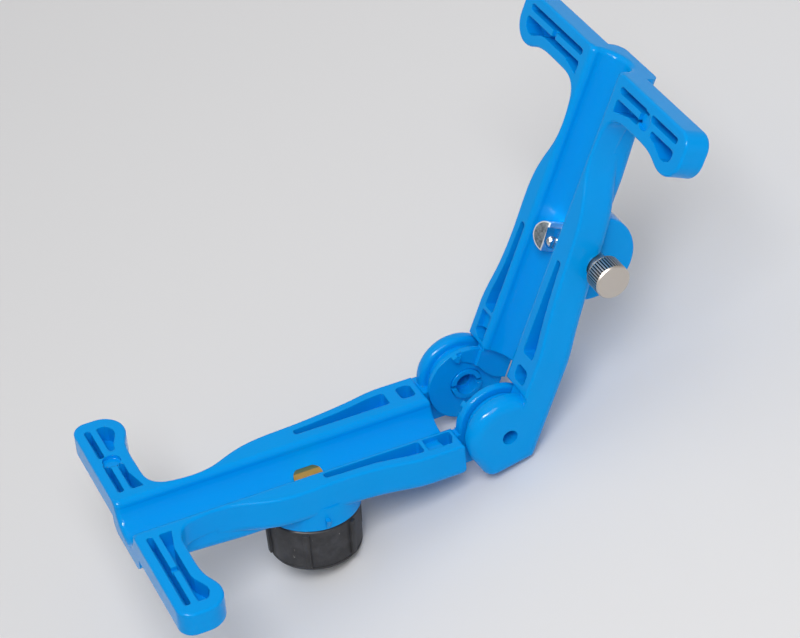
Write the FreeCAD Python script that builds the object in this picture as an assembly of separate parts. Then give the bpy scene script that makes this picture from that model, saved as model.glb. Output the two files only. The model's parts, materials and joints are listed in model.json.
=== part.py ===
import FreeCAD, Part
import math
import os

# Cable slitter: two moulded arms hinged at one end, drawn in millimetres.
# Each arm is drawn closed, in its own frame: the origin is on the hinge axis, -X runs
# to the cross bar, +Y is the side of its outer ear and the mating face is at Z = 0.

# Arm
arm_length = 110.0         # hinge axis to the outboard face of the cross bar
seat_gap = 0.1             # gap left between the two mating faces when closed
opening_deg = 113.2        # angle between the mating faces as stored
edge_round = 0.7           # rounding of the mating face outline

# Cross bar
bar_depth = 7.9            # thickness below the mating face
bar_width = 11.7           # outboard face to the straight inboard edge
bar_half_span = 46.4       # centre line to the tip
bar_corner = 4.4           # outboard corner radius at the tip
tip_round = 6.9            # inboard bulge radius at the tip
tip_bulge = 2.7            # the bulge stands this far inboard of the straight edge
bar_back_round = 1.0       # rounding of the cross bar's back edges
waist_from_bar = 24.0      # outboard face to the narrowest place of the arm
waist_half = 9.1           # half width there
neck_reach = 11.0          # the neck starts this far outside the waist's half width
bulge_fade = 10.0          # length in which the tip's bulge runs out

# Rails beside the trough, from the shoulder to the hinge
rail_depth = 11.4
rail_round = 3.3
rail_end = 12.8            # hinge axis to the end face of the rails
shoulder_from_bar = 42.0   # outboard face to the shoulder
middle_from_hinge = 39.6
hip_from_hinge = 22.0      # from here to the hinge the sides are straight
inner_shoulder = 13.7      # half width at the shoulder, on the inner ear's side
inner_middle = 14.5
inner_hip = 17.0
outer_shoulder = 14.6
outer_middle = 17.6

# Trough for the cable, with the shell under it
trough_half = 6.7
trough_round = 2.0         # rounding of the trough's long edges
trough_drop = 0.6          # centre of the round floor below the mating face
mouth_round = 1.5          # rounding of the trough's mouth at the outboard face
shell_half = 9.0
shell_half_end = 11.0      # the shell widens to this at the outboard face
shell_round = 3.3
shell_depth_bar = 11.8     # shell depth at the outboard face
shell_depth_neck = 13.4
boss_step = 1.1            # round boss below the shell
shell_ramp = 10.0          # shoulder to the shell's full depth
shell_tail = 32.0          # hinge axis to where the shell runs out

# Lightening slots in the cross bar
slot_width = 1.9
slot_depth = 5.2
outer_slot_from_face = 3.7
inner_slot_from_face = 7.5
slot_start = 11.2          # centre line to the near end of the slots
slot_end = 42.0
slot_margin = 2.7          # wall between the inner slot and the bar's outline
slot_corner = 0.9          # rounding of the slots' corners
root_taper = 7.5           # length of the slots' wide part beside the trough
tip_taper = 4.5            # and of the rounded end of their wide part at the tip
key_place = 26.8           # centre line to the locating notch
key_block = 8.0            # length of the bridge beside the notch
socket_place = 25.8        # centre line to the locating socket
socket_radius = 2.7
socket_from_face = 5.8
outer_bridge = 2.7         # wall between the outer slots at the socket
inner_bridge = 6.5         # wall between the inner slots there
key_depth = 1.3
key_notch = 2.0

# Lightening pockets in the rails
pocket_depth = 5.0
pocket_start = 53.4        # hinge axis to the narrow end
pocket_end = 23.4          # wide end, on the outer ear's side
pocket_end_inner = 23.8    # and on the inner ear's side
pocket_inner_wall = 2.1    # trough edge to the pocket
pocket_outer_wall = 3.0    # pocket to the outline
pocket_narrow = 2.2        # width at the narrow end
pocket_corner = 0.9
cell_start = 19.6          # small cell next to the hinge
cell_end = 15.0
cell_start_inner = 18.0    # the same cell on the inner ear's side
cell_end_inner = 14.2
ledge_start = 22.6         # shallow step beside that cell
ledge_depth = 1.8
cell_round = 1.4
cell_corner = 0.5

# Hinge ears
outer_ear_face = 20.0      # centre line to the outer face
outer_ear_inside = 11.6
outer_ear_radius = 12.2
ear_round = 3.3
ear_gap = 0.4              # gap between the neighbouring ears
inner_ear_thick = 3.5
inner_ear_radius = 11.8
inner_ear_round = 0.8
ear_end_drop = 1.4         # where the inner ear's slanted end starts, below the axis
nose_reach = 15.0          # hinge axis to the outer ear's nose, along the arm
nose_lift = 0.6            # the nose stands this far above the axis
nose_round = 3.6
ear_shoulder = 2.4         # step of the outer ear's rim next to the inner ear
ear_shoulder_width = 2.8
ear_shoulder_round = 1.5
web_notch = 0.9            # radius of the notch in the rim of the inner ear's thick part
web_notch_deg = 148.0
ear_recess = 1.5           # the inner ear is thinner by this, away from the rails
ear_back_reach = 6.6       # hinge axis to the back corner of the ear
stub_radius = 4.8          # hollow snap pin moulded on the outer ear
stub_clear = 0.1
stub_hole = 2.3
stub_lip = 0.5             # the stub ends this far inside the inner ear
stub_bore = 3.3            # wider hollow at the stub's free end
stub_bore_depth = 3.8
stub_split = 1.1           # slots that let the stub's end spring

# Round boss and knob under the lower arm
post_from_hinge = 54.4     # hinge axis to the axis of knob, pad and blade post
boss_radius = 14.6
boss_depth = 15.7
boss_round = 0.8
fin_thick = 1.3            # fin that stiffens the boss below the rail
fin_reach = 1.6            # how far it stands out of the boss at the rail
fin_place = 0.9            # boss axis to the fin, away from the hinge
fin_root = 2.0             # how deep it sits in the boss
washer_thick = 0.5
washer_radius = 6.0
knob_radius = 13.6
knob_height = 14.6
knob_taper = 0.4           # the knob is this much wider at the boss
knob_ribs = 6
rib_width = 1.7
rib_proud = 0.8
rib_stop = 1.6             # the ribs end this far above the knob's foot
knob_round = 0.8
cap_radius = 8.0
cap_thick = 1.6
cap_inset = 0.3
nut_flats = 7.0
nut_height = 3.2
stud_radius = 2.0
bush_radius = 3.4
bush_length = 2.6
fit_clear = 0.05           # running clearance on screws and shafts
clip_radius = 3.2
clip_thick = 0.5
pad_radius = 4.4
pad_flats = 7.2
pad_proud = 1.0            # pad above the trough floor as stored
pad_groove = 0.9           # depth of the groove across the pad
pad_roof = 0.5             # wall between the groove and the threaded bore
pad_down = 0.6             # travel of the pad below its stored place
pad_rest = 0.15            # pad to the clip at the end of that travel
slide_clear = 0.1

# Arched boss, blade post and thumb screw on the upper arm
arch_radius = 13.3
arch_half = 12.1
screw_drop = 11.0          # mating face to the thumb screw's axis
post_radius = 4.45
post_bottom = 16.5         # mating face to the foot of the post
post_back = 2.5            # travel of the post back into its bore
post_top = 2.0             # mating face to the blade side of the post's head
post_slope = 1.6           # the head rises this much to the far side
step_depth = 6.4           # height of the blade's flat
blade_thick = 0.6
blade_width = 6.4
blade_height = 6.2
blade_proud = 0.7
blade_screw_radius = 1.0
blade_screw_head = 1.6
blade_screw_head_height = 1.0
blade_screw_length = 3.0
blade_screw_drop = 2.2     # below the head of the post
blade_screw_off = 1.2      # towards the hinge
head_radius = 5.2
head_start = 18.2
head_length = 6.4
head_chamfer = 0.35
knurls = 44
knurl_depth = 0.22
collar_radius = 3.3
thumb_radius = 2.0
thumb_tip_gap = 0.15
insert_radius = 3.2
insert_length = 6.0
notch_clear = 0.7


def vec(x, y, z=0.0):
    return FreeCAD.Vector(x, y, z)


X_AXIS = vec(1, 0, 0)
Y_AXIS = vec(0, 1, 0)
Z_AXIS = vec(0, 0, 1)


def cylinder(radius, start, direction, length):
    return Part.makeCylinder(radius, length, start, direction)


def box(x0, x1, y0, y1, z0, z1):
    return Part.makeBox(x1 - x0, y1 - y0, z1 - z0, vec(x0, y0, z0))


def prism(points, direction):
    face = Part.Face(Part.makePolygon(points + [points[0]]))
    return face.extrude(direction)


def spline(points):
    curve = Part.BSplineCurve()
    curve.interpolate(points)
    return curve.toShape()


def round_edges(shape, radius, pick):
    edges = [edge for edge in shape.Edges if pick(edge)]
    return shape.makeFillet(radius, edges)


def at_height(z):
    def pick(edge):
        bound = edge.BoundBox
        return abs(bound.ZMin - z) < 1e-4 and abs(bound.ZMax - z) < 1e-4
    return pick


past = arm_length          # reach of a cutting tool, past every wall
top = -seat_gap / 2
shoulder_from_hinge = arm_length - shoulder_from_bar
shell_depth_boss = boss_depth - boss_step
waist_x = -arm_length + waist_from_bar
axis_x = -post_from_hinge
trough_floor = -trough_drop - trough_half
bush_floor = -boss_depth + bush_length


# Outline of one side of the arm, from the tip of the cross bar to the hinge

def bar_side():
    edge = -arm_length + bar_width
    center = bar_half_span - tip_round
    tip_x = edge + tip_bulge
    return [
        vec(tip_x, center),
        vec(tip_x - 0.19 * tip_bulge, center - 0.31 * bulge_fade),
        vec(edge + 0.33 * tip_bulge, center - 0.63 * bulge_fade),
        vec(edge + 0.05 * tip_bulge, center - bulge_fade),
    ]


def neck_side():
    edge = -arm_length + bar_width
    run = waist_x - edge
    return [
        vec(edge, waist_half + neck_reach),
        vec(edge + 0.01 * run, waist_half + 0.64 * neck_reach),
        vec(edge + 0.08 * run, waist_half + 0.355 * neck_reach),
        vec(edge + 0.26 * run, waist_half + 0.145 * neck_reach),
        vec(edge + 0.55 * run, waist_half + 0.045 * neck_reach),
        vec(waist_x, waist_half),
    ]


def rail_side(side):
    shoulder = inner_shoulder
    middle = inner_middle
    hip = inner_hip
    if side > 0:
        shoulder = outer_shoulder
        middle = outer_middle
        hip = outer_ear_face
    step = (-shoulder_from_hinge - waist_x) / 3
    rise = shoulder - waist_half
    flare = (middle_from_hinge - hip_from_hinge) / 3
    halfway = (shoulder_from_hinge + middle_from_hinge) / 2
    return [
        vec(waist_x + step, waist_half + 0.15 * rise),
        vec(waist_x + 2 * step, waist_half + 0.62 * rise),
        vec(-shoulder_from_hinge, shoulder),
        vec(-halfway, shoulder + 0.5 * (middle - shoulder)),
        vec(-middle_from_hinge, middle),
        vec(-middle_from_hinge + flare, middle + 0.37 * (hip - middle)),
        vec(-middle_from_hinge + 2 * flare, middle + 0.84 * (hip - middle)),
        vec(-hip_from_hinge, hip),
    ]


def outline_side(side):
    points = bar_side() + neck_side() + rail_side(side)
    return [vec(p.x, side * p.y) for p in points]


def plan_face():
    tip_y = bar_half_span
    face_x = -arm_length
    center_y = bar_half_span - tip_round
    edges = []
    ends = []
    for side in (1, -1):
        points = outline_side(side)
        start = points[0]
        tip_center = vec(start.x - tip_round, side * center_y)
        crown = vec(tip_center.x, side * tip_y)
        diagonal = tip_round * math.sqrt(0.5)
        mid = tip_center + vec(diagonal, side * diagonal)
        corner_a = vec(face_x + bar_corner, side * tip_y)
        corner_b = vec(face_x, side * (tip_y - bar_corner))
        lean = bar_corner * (1 - math.sqrt(0.5))
        corner_mid = vec(face_x + lean, side * (tip_y - lean))
        edges.append(spline(points))
        rail_last = vec(-rail_end, points[-1].y)
        edges.append(Part.makeLine(points[-1], rail_last))
        ends.append(rail_last)
        edges.append(Part.Arc(start, mid, crown).toShape())
        edges.append(Part.makeLine(crown, corner_a))
        edges.append(Part.Arc(corner_a, corner_mid, corner_b).toShape())
    edges.append(Part.makeLine(ends[0], ends[1]))
    low = vec(face_x, -(tip_y - bar_corner))
    high = vec(face_x, tip_y - bar_corner)
    edges.append(Part.makeLine(low, high))
    wire = Part.Wire(Part.__sortEdges__(edges))
    return Part.Face(wire)


def plan_solid(z_low, z_high):
    solid = plan_face().extrude(vec(0, 0, z_high - z_low))
    solid.translate(vec(0, 0, z_low))
    return solid


# Body of one arm

inner_ear_outside = outer_ear_inside - ear_gap
inner_ear_inside = inner_ear_outside - inner_ear_thick


def plate():
    """Cross bar and rails: one outline, thinner at the cross bar."""
    solid = plan_solid(-rail_depth, top)
    under_bar = box(-arm_length - 1, waist_x, -past, past, -rail_depth - 1, -bar_depth)
    solid = solid.cut(under_bar)

    def rail_foot(edge):
        return at_height(-rail_depth)(edge) and edge.BoundBox.XMax > waist_x + 0.1

    def bar_back(edge):
        return at_height(-bar_depth)(edge) and edge.BoundBox.XMin < waist_x - 0.1
    solid = round_edges(solid, rail_round, rail_foot)
    solid = round_edges(solid, edge_round, at_height(top))
    return round_edges(solid, bar_back_round, bar_back)


def shell():
    widest = -arm_length + bar_width
    side = [
        vec(-arm_length, 0, -bar_depth / 2),
        vec(-arm_length, 0, -shell_depth_bar),
        vec(widest, 0, -shell_depth_neck),
        vec(-shoulder_from_hinge - shell_ramp, 0, -shell_depth_boss),
        vec(-post_from_hinge + boss_radius, 0, -shell_depth_boss),
        vec(-shell_tail, 0, -rail_depth + 1.0),
        vec(-shell_tail, 0, -bar_depth / 2),
    ]
    solid = prism(side, vec(0, 2 * shell_half_end, 0))
    solid.translate(vec(0, -shell_half_end, 0))
    plan = [
        vec(-arm_length, shell_half_end, -past),
        vec(widest, shell_half, -past),
        vec(-shell_tail, shell_half, -past),
        vec(-shell_tail, -shell_half, -past),
        vec(widest, -shell_half, -past),
        vec(-arm_length, -shell_half_end, -past),
    ]
    solid = solid.common(prism(plan, vec(0, 0, 2 * past)))

    def lower_long(edge):
        on_side = all(abs(v.Y) > shell_half - 1e-4 for v in edge.Vertexes)
        below = edge.BoundBox.ZMax < -bar_depth / 2 - 0.1
        return on_side and below and edge.BoundBox.XLength > 1
    return round_edges(solid, shell_round, lower_long)


# Hinge ears: plan them on the side view, with the hinge axis at the origin

def corner_arc(before, corner, after, radius):
    """Tangent points and middle of the arc that rounds a corner."""
    a = (before - corner).normalize()
    b = (after - corner).normalize()
    half = a.getAngle(b) / 2
    reach = radius / math.tan(half)
    center = corner + (a + b).normalize() * (radius / math.sin(half))
    middle = center + (corner - center).normalize() * radius
    return corner + a * reach, middle, corner + b * reach


def outer_profile(radius, nose_x):
    """Disc above the axis, with a nose past it and a slanted end below."""
    nose = vec(nose_x, 0, nose_lift)
    rise = math.atan2(nose.z, nose.x) + math.acos(radius / nose.Length)
    touch = vec(radius * math.cos(rise), 0, radius * math.sin(rise))
    back = vec(ear_back_reach, 0, -rail_depth)
    low, tip, high = corner_arc(back, nose, touch, nose_round)
    deck = top - edge_round
    start = vec(-math.sqrt(radius ** 2 - deck ** 2), 0, deck)
    link_top = vec(-rail_end - 3.0, 0, deck)
    link_foot = vec(-rail_end - 3.0, 0, -rail_depth)
    return [
        Part.makeLine(link_foot, back),
        Part.makeLine(back, low),
        Part.Arc(low, tip, high).toShape(),
        Part.makeLine(high, touch),
        Part.Arc(touch, vec(0, 0, radius), start).toShape(),
        Part.makeLine(start, link_top),
        Part.makeLine(link_top, link_foot),
    ]


def inner_profile(radius):
    """Disc above the axis and a slanted end below."""
    end = vec(math.sqrt(radius ** 2 - ear_end_drop ** 2), 0, -ear_end_drop)
    back = vec(ear_back_reach, 0, -rail_depth)
    deck = top - edge_round
    start = vec(-math.sqrt(radius ** 2 - deck ** 2), 0, deck)
    link_top = vec(-rail_end - 3.0, 0, deck)
    link_foot = vec(-rail_end - 3.0, 0, -rail_depth)
    return [
        Part.makeLine(link_foot, back),
        Part.makeLine(back, end),
        Part.Arc(end, vec(0, 0, radius), start).toShape(),
        Part.makeLine(start, link_top),
        Part.makeLine(link_top, link_foot),
    ]


def ear(profile, y_low, y_high):
    face = Part.Face(Part.Wire(profile))
    solid = face.extrude(vec(0, y_high - y_low, 0))
    solid.translate(vec(0, y_low, 0))
    return solid


def outer_ear():
    shoulder_y = outer_ear_inside + ear_shoulder_width
    disc = ear(outer_profile(outer_ear_radius, nose_reach), shoulder_y, outer_ear_face)

    def rim(edge):
        bound = edge.BoundBox
        at_face = abs(bound.YMin - outer_ear_face) < 1e-4 and bound.YLength < 1e-4
        foot = bound.ZMax < -rail_depth + 1e-3
        return at_face and (foot or bound.XMax > 0)

    def inner_rim(edge):
        bound = edge.BoundBox
        at_step = abs(bound.YMin - shoulder_y) < 1e-4 and bound.YLength < 1e-4
        return at_step and bound.XMax > 0 and bound.ZMax > -rail_depth + 1e-3
    disc = round_edges(disc, ear_round, rim)
    disc = round_edges(disc, ear_shoulder_round, inner_rim)
    radius = outer_ear_radius - ear_shoulder
    step = ear(outer_profile(radius, nose_reach - ear_shoulder), outer_ear_inside, shoulder_y + 1)
    return disc.fuse(step)


def inner_ear():
    """Ear of full thickness beside the rails and thinner round the hinge pin."""
    solid = ear(inner_profile(inner_ear_radius), -inner_ear_outside, -inner_ear_inside)

    def rim(edge):
        bound = edge.BoundBox
        outside = abs(bound.YMin + inner_ear_outside) < 1e-4 and bound.YLength < 1e-4
        return outside and (bound.ZMax > inner_ear_radius - 1e-3 or bound.XMax > ear_back_reach + 1)
    solid = round_edges(solid, inner_ear_round, rim)
    turn = math.radians(web_notch_deg)
    notch_at = vec(inner_ear_radius * math.cos(turn), -inner_ear_inside - ear_recess,
                   inner_ear_radius * math.sin(turn))
    solid = solid.cut(cylinder(web_notch, notch_at, Y_AXIS, ear_recess + 1))
    shares = [(-0.96, 1.03), (-0.617, 0.583), (-0.6, 0.174), (-0.557, -0.087), (-0.417, -0.322),
              (-0.3, -0.6), (-0.3, -2), (2, -2), (2, 2), (-0.96, 2)]
    floor_y = -inner_ear_inside - ear_recess
    points = [vec(inner_ear_radius * x, floor_y, inner_ear_radius * z) for x, z in shares]
    return solid.cut(prism(points, vec(0, ear_recess + 1, 0)))


def hinge_stub():
    """Hollow pin on the outer ear, wider bored and split at its free end."""
    end = inner_ear_inside + stub_lip
    solid = cylinder(stub_radius, vec(0, end, 0), Y_AXIS, outer_ear_inside - end + 1)
    bore = cylinder(stub_bore, vec(0, end - 1, 0), Y_AXIS, stub_bore_depth + 1)
    split = box(-past, past, end - 1, end + stub_bore_depth - 1, -stub_split / 2, stub_split / 2)
    return solid.cut([bore, split])


def trough():
    """Round floor, straight sides and rounded long edges, open at both ends."""
    rim = trough_half + trough_round
    lean = trough_round * (1 - math.sqrt(0.5))
    shoulder_z = top - trough_round
    side_foot = min(-trough_drop, shoulder_z) - 0.2
    floor = vec(0, 0, trough_floor)
    above = top + edge_round + 5
    uppers = []
    feet = []
    edges = []
    for side in (1, -1):
        upper = vec(0, side * rim, above)
        rim_edge = vec(0, side * rim, top)
        rounded = vec(0, side * (trough_half + lean), top - lean)
        inner_edge = vec(0, side * trough_half, shoulder_z)
        foot = vec(0, side * trough_half, side_foot)
        edges.append(Part.makeLine(upper, rim_edge))
        edges.append(Part.Arc(rim_edge, rounded, inner_edge).toShape())
        edges.append(Part.makeLine(inner_edge, foot))
        uppers.append(upper)
        feet.append(foot)
    edges.append(Part.makeLine(uppers[0], uppers[1]))
    edges.append(Part.Arc(feet[0], floor, feet[1]).toShape())
    face = Part.Face(Part.Wire(Part.__sortEdges__(edges)))
    solid = face.extrude(vec(arm_length + past, 0, 0))
    solid.translate(vec(-arm_length - past / 2, 0, 0))
    outside = box(-arm_length - 5, -arm_length, -past, past, -past, above)
    solid = solid.fuse(outside)

    def mouth(edge):
        bound = edge.BoundBox
        on_face = abs(bound.XMin + arm_length) < 1e-4 and bound.XLength < 1e-4
        return on_face and bound.YMin > -rim - 1e-3 and bound.YMax < rim + 1e-3
    return round_edges(solid, mouth_round, mouth)


def rounded_well(solid, radius):
    """Round the upright edges of a cutting block."""
    return solid.makeFillet(radius, [e for e in solid.Edges if e.BoundBox.ZLength > 1])


def slot(x, y0, y1, width):
    well = box(x - width / 2, x + width / 2, y0, y1, -slot_depth, 1)
    return rounded_well(well, slot_corner)


def widening(side):
    """Inner slot's wide parts, which follow the outline of the bar."""
    x0 = -arm_length + inner_slot_from_face
    edge = -arm_length + bar_width - slot_margin
    near = x0 + slot_width / 2
    tip_x = edge + slot_width
    fan = key_place + key_block / 2
    tip = [
        vec(x0, side * fan),
        vec(near, side * fan),
        vec(near + 0.2 * slot_width, side * (fan + 0.2 * bulge_fade)),
        vec(tip_x - 0.3 * slot_width, side * (slot_end - tip_taper - 0.15 * bulge_fade)),
        vec(tip_x, side * (slot_end - tip_taper)),
        vec(tip_x, side * (slot_end - 0.6 * tip_taper)),
        vec(tip_x - 0.5 * slot_width, side * (slot_end - 0.15 * tip_taper)),
        vec(tip_x - slot_width, side * slot_end),
        vec(x0, side * slot_end),
    ]
    root = [
        vec(x0, side * slot_start),
        vec(edge + 0.7 * slot_width, side * slot_start),
        vec(near, side * (slot_start + root_taper)),
        vec(x0, side * (slot_start + root_taper)),
    ]
    cuts = []
    for points in (tip, root):
        cut = prism(points, vec(0, 0, slot_depth + 1))
        cut.translate(vec(0, 0, -slot_depth))
        cuts.append(cut)
    return cuts


def bar_cuts():
    outer = -arm_length + outer_slot_from_face
    inner = -arm_length + inner_slot_from_face
    middle = (outer + inner) / 2
    cuts = []
    for x, bridge in ((outer, outer_bridge), (inner, inner_bridge)):
        cuts.append(slot(x, slot_start, socket_place + 1 - bridge / 2, slot_width))
        cuts.append(slot(x, socket_place + 1 + bridge / 2, slot_end, slot_width))
        cuts.append(slot(x, -slot_end, -slot_start, slot_width))
    cuts += widening(1) + widening(-1)
    socket = vec(-arm_length + socket_from_face, socket_place, -key_depth)
    cuts.append(cylinder(socket_radius, socket, Z_AXIS, key_depth + 1))
    reach = (inner - outer) / 2
    notch_y = -key_place
    notch = box(middle - reach, middle + reach, notch_y - key_notch / 2,
                notch_y + key_notch / 2, -key_depth, 1)
    cuts.append(notch)
    return cuts


def rail_width(side, x):
    """Half width of the outline at x, between the points of the rail."""
    points = rail_side(side)
    for a, b in zip(points, points[1:]):
        if a.x <= x <= b.x:
            return a.y + (b.y - a.y) * (x - a.x) / (b.x - a.x)
    return points[-1].y


def pocket_cuts():
    cuts = []
    inner_cell_y = trough_half + pocket_inner_wall + outer_ear_face - inner_hip - 0.6
    for side in (1, -1):
        inner_y = trough_half + pocket_inner_wall
        wide_end = pocket_end_inner
        if side > 0:
            inner_y = inner_cell_y
            wide_end = pocket_end
        stations = [-pocket_start + (pocket_start - wide_end) * k / 6.0 for k in range(7)]
        far = []
        for x in stations:
            width = rail_width(side, x) - pocket_outer_wall
            far.append(vec(x, side * max(width, inner_y + pocket_narrow)))
        far[0] = vec(-pocket_start, side * (inner_y + pocket_narrow))
        near = [vec(-wide_end, side * inner_y), vec(-pocket_start, side * inner_y)]
        cut = prism(far + near, vec(0, 0, pocket_depth + 1))
        cut.translate(vec(0, 0, -pocket_depth))

        def at_end(edge):
            x = edge.BoundBox.XMin
            ends = abs(x + pocket_start) < 1e-4 or abs(x + wide_end) < 1e-4
            return edge.BoundBox.ZLength > 1 and ends
        cuts.append(round_edges(cut, pocket_corner, at_end))
    cell_y = outer_ear_face - pocket_outer_wall
    cell = box(-cell_start, -cell_end, inner_cell_y, cell_y, -pocket_depth, 1)
    cuts.append(rounded_well(cell, cell_round))
    narrow = (cell_start_inner - cell_end_inner) / 3
    y0 = -trough_half - pocket_inner_wall
    y1 = -inner_hip + pocket_outer_wall
    plan = [
        vec(-cell_start_inner, y0, -pocket_depth),
        vec(-cell_end_inner, y0, -pocket_depth),
        vec(-cell_end_inner, (y0 + y1) / 2, -pocket_depth),
        vec(-cell_end_inner - narrow, y1, -pocket_depth),
        vec(-cell_start_inner + narrow, y1, -pocket_depth),
    ]
    cuts.append(rounded_well(prism(plan, vec(0, 0, pocket_depth + 1)), cell_corner))
    ledge = box(-ledge_start, -cell_start_inner + narrow, y1, y0, -ledge_depth, 1)
    cuts.append(rounded_well(ledge, cell_corner))
    return cuts


def round_boss():
    solid = cylinder(boss_radius, vec(axis_x, 0, -boss_depth), Z_AXIS,
                     boss_depth - bar_depth)
    solid = round_edges(solid, boss_round, at_height(-boss_depth))
    x0 = axis_x - fin_place - fin_thick / 2
    foot = -boss_depth + boss_round
    fin = prism([vec(x0, -boss_radius + fin_root, -rail_depth),
                 vec(x0, -boss_radius - fin_reach, -rail_depth),
                 vec(x0, -boss_radius, foot),
                 vec(x0, -boss_radius + fin_root, foot)], vec(fin_thick, 0, 0))
    return solid.fuse(fin)


def arched_boss():
    solid = cylinder(arch_radius, vec(axis_x, -arch_half, -screw_drop), Y_AXIS,
                     2 * arch_half)
    rims = [e for e in solid.Edges if e.BoundBox.YLength < 1e-4]
    solid = solid.makeFillet(boss_round, rims)
    below = box(axis_x - 2 * arch_radius, axis_x + 2 * arch_radius,
                -arch_half, arch_half, -past, -bar_depth)
    return solid.common(below)


def knob_bores():
    at = vec(axis_x, 0, 0)
    pocket = cylinder(pad_radius + slide_clear, at + vec(0, 0, bush_floor), Z_AXIS, past)
    flats = box(axis_x - past, axis_x + past, -pad_flats / 2 - slide_clear,
                pad_flats / 2 + slide_clear, -past, past)
    bush = cylinder(bush_radius, at + vec(0, 0, -boss_depth - 1), Z_AXIS,
                    bush_length + 1)
    return [pocket.common(flats), bush]


def post_bores():
    foot = vec(axis_x, 0, -post_bottom - post_back)
    post = cylinder(post_radius + slide_clear, foot, Z_AXIS, past)
    start = vec(axis_x, arch_half - insert_length, -screw_drop)
    insert = cylinder(insert_radius, start, Y_AXIS, insert_length + 1)
    shank = cylinder(thumb_radius + fit_clear, vec(start.x, 0, start.z), Y_AXIS, past)
    notch = cylinder(collar_radius + notch_clear, vec(start.x, arch_half, start.z), Y_AXIS, past)
    return [post, insert, shank, notch]


def arm(kind):
    solid = plate().fuse(shell())
    if kind == "lower":
        solid = solid.fuse(round_boss())
    else:
        solid = solid.fuse(arched_boss())
    room = box(-rail_end, past, -past, past, -past, past)
    solid = solid.cut(room)
    solid = solid.fuse([outer_ear(), inner_ear(), hinge_stub()])
    cuts = [trough()] + bar_cuts() + pocket_cuts()
    cuts.append(cylinder(stub_hole, vec(0, 0, 0), Y_AXIS, past))
    cuts.append(cylinder(stub_radius + stub_clear, vec(0, -past, 0), Y_AXIS, past))
    if kind == "lower":
        cuts += knob_bores()
    else:
        cuts += post_bores()
    return solid.cut(cuts)


# Knob, stud and pad under the lower arm, in the lower arm's frame

knob_top = -boss_depth - washer_thick
knob_bottom = knob_top - knob_height
nut_low = knob_bottom + cap_inset + cap_thick
pad_top = trough_floor + pad_proud
pad_bore_top = pad_top - pad_groove - pad_roof
pad_foot = bush_floor + fit_clear + clip_thick + pad_rest + pad_down


def on_axis(radius, z_low, z_high):
    return cylinder(radius, vec(axis_x, 0, z_low), Z_AXIS, z_high - z_low)


def hexagon(flats, z_low, z_high):
    radius = flats / 2 / math.cos(math.pi / 6)
    angles = [math.pi / 3 * k for k in range(6)]
    points = [vec(axis_x + radius * math.cos(a), radius * math.sin(a), z_low) for a in angles]
    return prism(points, vec(0, 0, z_high - z_low))


def depth_knob():
    solid = Part.makeCone(knob_radius, knob_radius + knob_taper, knob_height,
                          vec(axis_x, 0, knob_bottom), Z_AXIS)
    solid = round_edges(solid, knob_round, lambda e: e.BoundBox.ZLength < 1e-4)
    ribs = []
    for k in range(knob_ribs):
        rib = box(0, knob_radius + rib_proud, -rib_width / 2, rib_width / 2,
                  knob_bottom + rib_stop, knob_top - knob_round)
        rib.rotate(vec(0, 0, 0), Z_AXIS, 360.0 / knob_ribs * k)
        rib.translate(vec(axis_x, 0, 0))
        ribs.append(rib)
    solid = solid.fuse(ribs)
    cap = on_axis(cap_radius, knob_bottom - 1, knob_bottom + cap_inset + cap_thick)
    nut = hexagon(nut_flats + 2 * fit_clear, nut_low - 1, nut_low + nut_height)
    bore = on_axis(stud_radius + fit_clear, knob_bottom - 1, 0)
    return solid.cut([cap, nut, bore])


def knob_cap():
    z = knob_bottom + cap_inset
    return on_axis(cap_radius - fit_clear, z, z + cap_thick)


def stud_nut():
    nut = hexagon(nut_flats, nut_low, nut_low + nut_height)
    return nut.cut(on_axis(stud_radius + fit_clear, nut_low - 1, nut_low + nut_height + 1))


def knob_stud():
    rod = on_axis(stud_radius, nut_low, pad_bore_top - pad_down)
    groove_low = bush_floor + fit_clear
    groove = on_axis(stud_radius + 1, groove_low, groove_low + clip_thick)
    return rod.cut(groove.cut(on_axis(stud_radius - 0.5, groove_low - 1, groove_low + 2)))


def stud_clip():
    z = bush_floor + fit_clear
    ring = on_axis(clip_radius, z, z + clip_thick)
    ring = ring.cut(on_axis(stud_radius - 0.5 + fit_clear, z - 1, z + 2))
    mouth = box(axis_x, axis_x + 2 * clip_radius, -1.2, 1.2, z - 1, z + 2)
    return ring.cut(mouth)


def stud_bush():
    ring = on_axis(bush_radius, -boss_depth, bush_floor)
    return ring.cut(on_axis(stud_radius + fit_clear, -boss_depth - 1, 0))


def thrust_washer():
    ring = on_axis(washer_radius, knob_top, -boss_depth)
    return ring.cut(on_axis(stud_radius + 0.2, knob_top - 1, 0))


def pressure_pad():
    solid = on_axis(pad_radius, pad_foot, pad_top)
    start = axis_x - pad_radius
    flats = box(start, axis_x + pad_radius, -pad_flats / 2, pad_flats / 2, -past, past)
    bore = on_axis(stud_radius + fit_clear, -past, pad_bore_top)
    groove = prism([vec(start, -2 * pad_groove, pad_top),
                    vec(start, 0, pad_top - pad_groove),
                    vec(start, 2 * pad_groove, pad_top)], vec(2 * pad_radius, 0, 0))
    return solid.common(flats).cut([bore, groove])


# Blade post and thumb screw, in the upper arm's own frame

def blade_post():
    high = -post_top + post_slope
    solid = on_axis(post_radius, -post_bottom, high)
    start = axis_x - post_radius
    end = axis_x + post_radius
    slope = prism([vec(start, 0, -post_top), vec(start, -post_radius, high),
                   vec(start, -post_radius, past), vec(start, past, past),
                   vec(start, past, -post_top)], vec(end - start, 0, 0))
    step = box(start, end, 0, past, -post_top - step_depth, past)
    screw = cylinder(blade_screw_radius, vec(axis_x + blade_screw_off, -blade_screw_length,
                     -post_top - blade_screw_drop), Y_AXIS, past)
    foot = [e for e in solid.Edges if at_height(-post_bottom)(e)]
    solid = solid.makeChamfer(0.6, foot)
    return solid.cut([slope, step, screw])


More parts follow.
